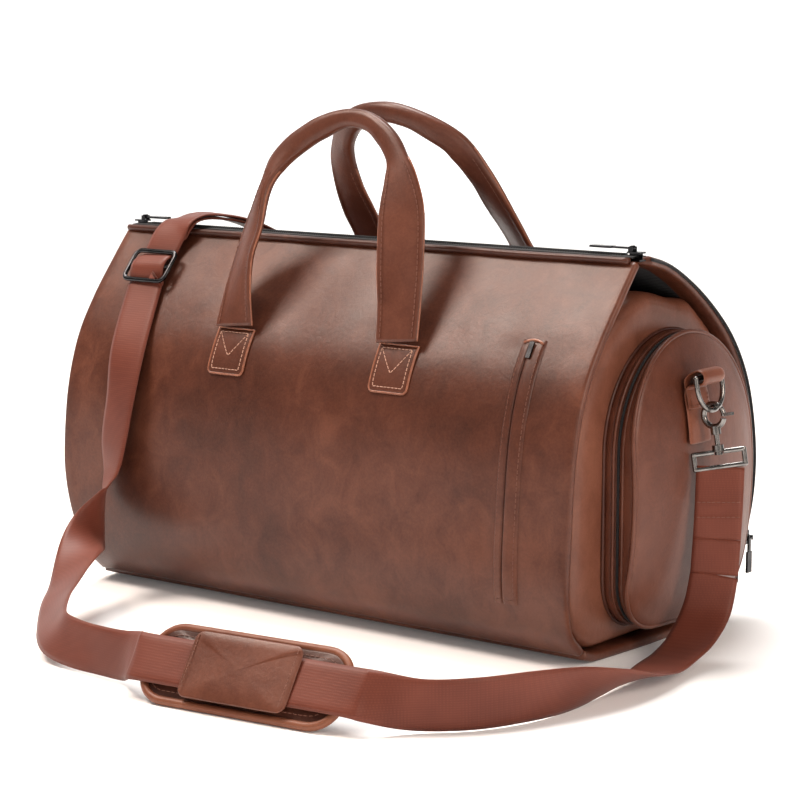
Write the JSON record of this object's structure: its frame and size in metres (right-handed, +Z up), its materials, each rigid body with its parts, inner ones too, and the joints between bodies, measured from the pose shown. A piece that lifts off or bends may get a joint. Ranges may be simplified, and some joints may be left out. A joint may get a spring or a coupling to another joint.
{
  "type": "weekender bag",
  "caption": "Padded wrap-round duffel with standing carry handles, a shoe pocket on one end, a zipped top and a detachable webbing strap with a shoulder pad.",
  "frame": {"origin": "on the floor, under the middle of the bag's length and of its depth", "axes": "+X along the bag towards the end with the shoe pocket, -Y towards the front panel, +Z up"},
  "size_m": [0.6846, 0.5612, 0.4314],
  "materials": {
    "leather": "glossy mottled synthetic leather",
    "dark_leather": "glossy synthetic leather",
    "lining": "smooth black cloth",
    "zip_tape": "black woven tape with coil teeth",
    "webbing": "smooth seat-belt weave",
    "nickel": "polished nickel",
    "gunmetal": "polished gunmetal",
    "black_plastic": "moulded satin",
    "board": "flat board"
  },
  "bodies": {
    "bag": {"back_wrap": "leather", "back_lining": "lining", "back_zip_half": "zip_tape", "back_handle_patches": "leather", "inner_bag": "leather", "bag_lining": "lining", "base_board": "board", "end_panel_right": "leather", "end_panel_left": "leather", "pocket_gusset": "leather", "pocket_face": "leather", "pocket_piping": "dark_leather", "pocket_zip": "zip_tape", "garment_zip": "zip_tape", "cinch_web_back": "zip_tape", "buckle_female": "black_plastic", "chape_right": "dark_leather", "chape_left": "dark_leather", "strap_floor": "webbing", "strap_top": "webbing", "strap_return": "webbing"},
    "front_wing": {"front_wrap": "leather", "front_lining": "lining", "front_zip_half": "zip_tape", "front_handle_patches": "leather", "welt_pocket": "dark_leather", "welt_zip": "zip_tape", "strap_front": "webbing"},
    "front_handle": {"front_handle": "leather"},
    "back_handle": {"back_handle": "leather"},
    "welt_slider": {"welt_slider": "gunmetal"},
    "zip_slider_right": {"zip_slider_right": "nickel"},
    "zip_pull_right": {"zip_pull_right": "gunmetal"},
    "zip_slider_left": {"zip_slider_left": "nickel"},
    "zip_pull_left": {"zip_pull_left": "gunmetal"},
    "pocket_slider": {"pocket_slider": "nickel"},
    "pocket_pull": {"pocket_pull": "gunmetal"},
    "garment_slider": {"garment_slider": "nickel"},
    "garment_pull": {"garment_pull": "gunmetal"},
    "buckle_male": {"buckle_male": "black_plastic", "cinch_web_front": "zip_tape"},
    "d_ring_right": {"d_ring_right": "nickel"},
    "snap_hook_right": {"snap_hook_right": "nickel"},
    "hook_gate_right": {"hook_gate_right": "nickel"},
    "strap_ring_right": {"strap_ring_right": "nickel", "strap_end_right": "webbing"},
    "d_ring_left": {"d_ring_left": "nickel"},
    "snap_hook_left": {"snap_hook_left": "nickel"},
    "hook_gate_left": {"hook_gate_left": "nickel"},
    "strap_ring_left": {"strap_ring_left": "nickel"},
    "tri_glide": {"tri_glide": "gunmetal"},
    "shoulder_pad": {"shoulder_pad": "dark_leather", "pad_sleeve": "leather"}
  },
  "joints": [
    {"name": "front_wing_open", "type": "hinge", "parent": "bag", "child": "front_wing", "pos_m": [0, -0.111, 0.006], "axis": [1, 0, 0], "range_deg": [0, 35], "deforming": ["strap_front", "strap_floor", "strap_top"]},
    {"name": "front_handle_fold", "type": "hinge", "parent": "front_wing", "child": "front_handle", "pos_m": [0, -0.114, 0.241], "axis": [1, 0, 0], "range_deg": [0, 135]},
    {"name": "back_handle_fold", "type": "hinge", "parent": "bag", "child": "back_handle", "pos_m": [0, 0.11, 0.241], "axis": [-1, 0, 0], "range_deg": [0, 140]},
    {"name": "zip_right_slide", "type": "slide", "parent": "bag", "child": "zip_slider_right", "axis": [-1, 0, 0], "range_m": [0, 0.2]},
    {"name": "zip_right_pull", "type": "hinge", "parent": "zip_slider_right", "child": "zip_pull_right", "pos_m": [0.2635, -0.038, 0.32235], "axis": [0, 1, 0], "range_deg": [0, 170]},
    {"name": "zip_left_slide", "type": "slide", "parent": "bag", "child": "zip_slider_left", "axis": [1, 0, 0], "range_m": [0, 0.2], "deforming": ["strap_top", "strap_return"]},
    {"name": "zip_left_pull", "type": "hinge", "parent": "zip_slider_left", "child": "zip_pull_left", "pos_m": [-0.2635, -0.038, 0.32235], "axis": [0, -1, 0], "range_deg": [0, 170]},
    {"name": "pocket_zip_slide", "type": "slide", "parent": "bag", "child": "pocket_slider", "axis": [0, 0, 1], "range_m": [0, 0.1]},
    {"name": "pocket_zip_pull", "type": "hinge", "parent": "pocket_slider", "child": "pocket_pull", "pos_m": [0.28125, 0.0998, 0.06], "axis": [1, 0, 0], "range_deg": [0, 45]},
    {"name": "garment_zip_slide", "type": "slide", "parent": "bag", "child": "garment_slider", "axis": [0, 0.3, 0.9539], "range_m": [0, 0.05]},
    {"name": "garment_zip_pull", "type": "hinge", "parent": "garment_slider", "child": "garment_pull", "pos_m": [0.2812, 0.124, 0.066], "axis": [0, -1, 0], "range_deg": [0, 120]},
    {"name": "welt_zip_slide", "type": "slide", "parent": "front_wing", "child": "welt_slider", "axis": [0, -0.5111, -0.8595], "range_m": [0, 0.02]},
    {"name": "buckle_release", "type": "slide", "parent": "bag", "child": "buckle_male", "axis": [0, -1, 0], "range_m": [0, 0.016]},
    {"name": "tri_glide_slide", "type": "slide", "parent": "front_wing", "child": "tri_glide", "axis": [0, -0.6428, -0.766], "range_m": [-0.012, 0.012]},
    {"name": "pad_slide", "type": "slide", "parent": "bag", "child": "shoulder_pad", "axis": [0.9945, 0.1045, 0], "range_m": [-0.02, 0.02]},
    {"name": "d_ring_right_swing", "type": "hinge", "parent": "bag", "child": "d_ring_right", "pos_m": [0.316, -0.007, 0.222], "axis": [0, -1, 0], "range_deg": [0, 40]},
    {"name": "hook_right_swing", "type": "hinge", "parent": "d_ring_right", "child": "snap_hook_right", "pos_m": [0.32069, -0.007, 0.19541], "axis": [0, -1, 0], "range_deg": [0, 25]},
    {"name": "hook_right_gate", "type": "hinge", "parent": "snap_hook_right", "child": "hook_gate_right", "pos_m": [0.33041, -0.007, 0.19159], "axis": [0, -1, 0], "range_deg": [0, 15], "stiffness_Nm_per_rad": 0.02},
    {"name": "strap_right_swivel", "type": "hinge", "parent": "snap_hook_right", "child": "strap_ring_right", "pos_m": [0.316, -0.007, 0.222], "axis": [-0.1736, 0, 0.9848], "range_deg": [0, 25], "deforming": ["strap_end_right"]},
    {"name": "d_ring_left_swing", "type": "hinge", "parent": "bag", "child": "d_ring_left", "pos_m": [-0.29, -0.007, 0.222], "axis": [0, 1, 0], "range_deg": [0, 40]},
    {"name": "hook_left_swing", "type": "hinge", "parent": "d_ring_left", "child": "snap_hook_left", "pos_m": [-0.29469, -0.007, 0.19541], "axis": [0, 1, 0], "range_deg": [0, 25]},
    {"name": "hook_left_gate", "type": "hinge", "parent": "snap_hook_left", "child": "hook_gate_left", "pos_m": [-0.30441, -0.007, 0.19159], "axis": [0, 1, 0], "range_deg": [0, 15], "stiffness_Nm_per_rad": 0.02},
    {"name": "strap_left_swivel", "type": "hinge", "parent": "snap_hook_left", "child": "strap_ring_left", "pos_m": [-0.29, -0.007, 0.222], "axis": [0.1736, 0, 0.9848], "range_deg": [-25, 25]}
  ]
}
